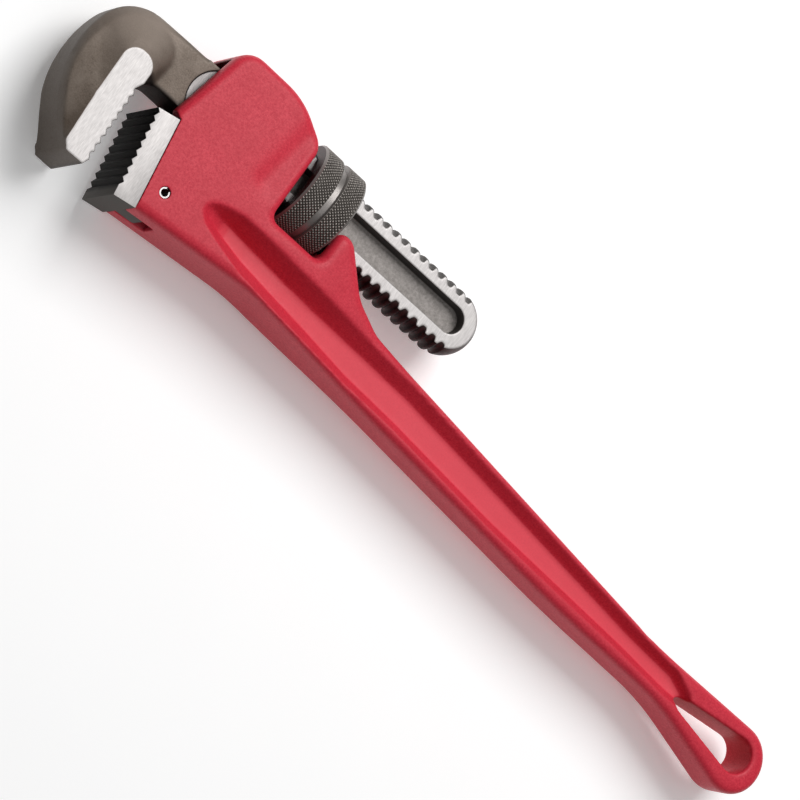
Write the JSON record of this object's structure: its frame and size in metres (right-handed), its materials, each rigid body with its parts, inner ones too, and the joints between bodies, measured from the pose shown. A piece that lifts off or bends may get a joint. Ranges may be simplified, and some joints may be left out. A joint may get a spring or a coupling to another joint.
{
  "type": "pipe wrench",
  "caption": "Straight pipe wrench: red cast handle, toothed heel jaw, hook jaw on a threaded flat-sided shank and a knurled nut that moves it in and out.",
  "frame": {"origin": "bottom centre of the whole tool as it lies on its side, at the level of the nut's lowest point", "axes": "+X along the hook jaw's shank from the hanging hole towards the jaws, +Y towards the handle side of the shank, +Z out of the upper broad face"},
  "size_m": [0.5122, 0.1197, 0.0484],
  "materials": {
    "red_paint": "satin enamel over a sand casting",
    "forged_steel": "dark phosphate on the forging, bright where ground",
    "tool_steel": "ground side faces, dark teeth",
    "nut_steel": "knurled bands, smooth middle groove",
    "pin_steel": "bright",
    "spring_steel": "oil-hardened grey"
  },
  "bodies": {
    "handle": {"handle": "red_paint", "heel_jaw": "tool_steel", "heel_jaw_pin": "pin_steel", "flat_spring": "spring_steel", "spring_rivet": "pin_steel"},
    "carrier": {"coil_spring": "spring_steel"},
    "hook": {"hook_jaw": "forged_steel"},
    "nut": {"adjusting_nut": "nut_steel"}
  },
  "joints": [
    {"name": "jaw_rock", "type": "hinge", "parent": "handle", "child": "carrier", "pos_m": [0.1165, -0.0305, 0.0242], "axis": [0, 0, 1], "range_deg": [-2, 1.5], "stiffness_Nm_per_rad": 15, "deforming": ["coil_spring", "flat_spring"]},
    {"name": "hook_slide", "type": "slide", "parent": "carrier", "child": "hook", "axis": [1, 0, 0], "range_m": [-0.011, 0.078]},
    {"name": "nut_spin", "type": "hinge", "parent": "carrier", "child": "nut", "pos_m": [0.1165, -0.0305, 0.0242], "axis": [1, 0, 0], "range_deg": [-4430, 630]}
  ],
  "couplings": [
    {"joint": "nut_spin", "follows": "hook_slide", "rad_per_m": -989.48}
  ]
}
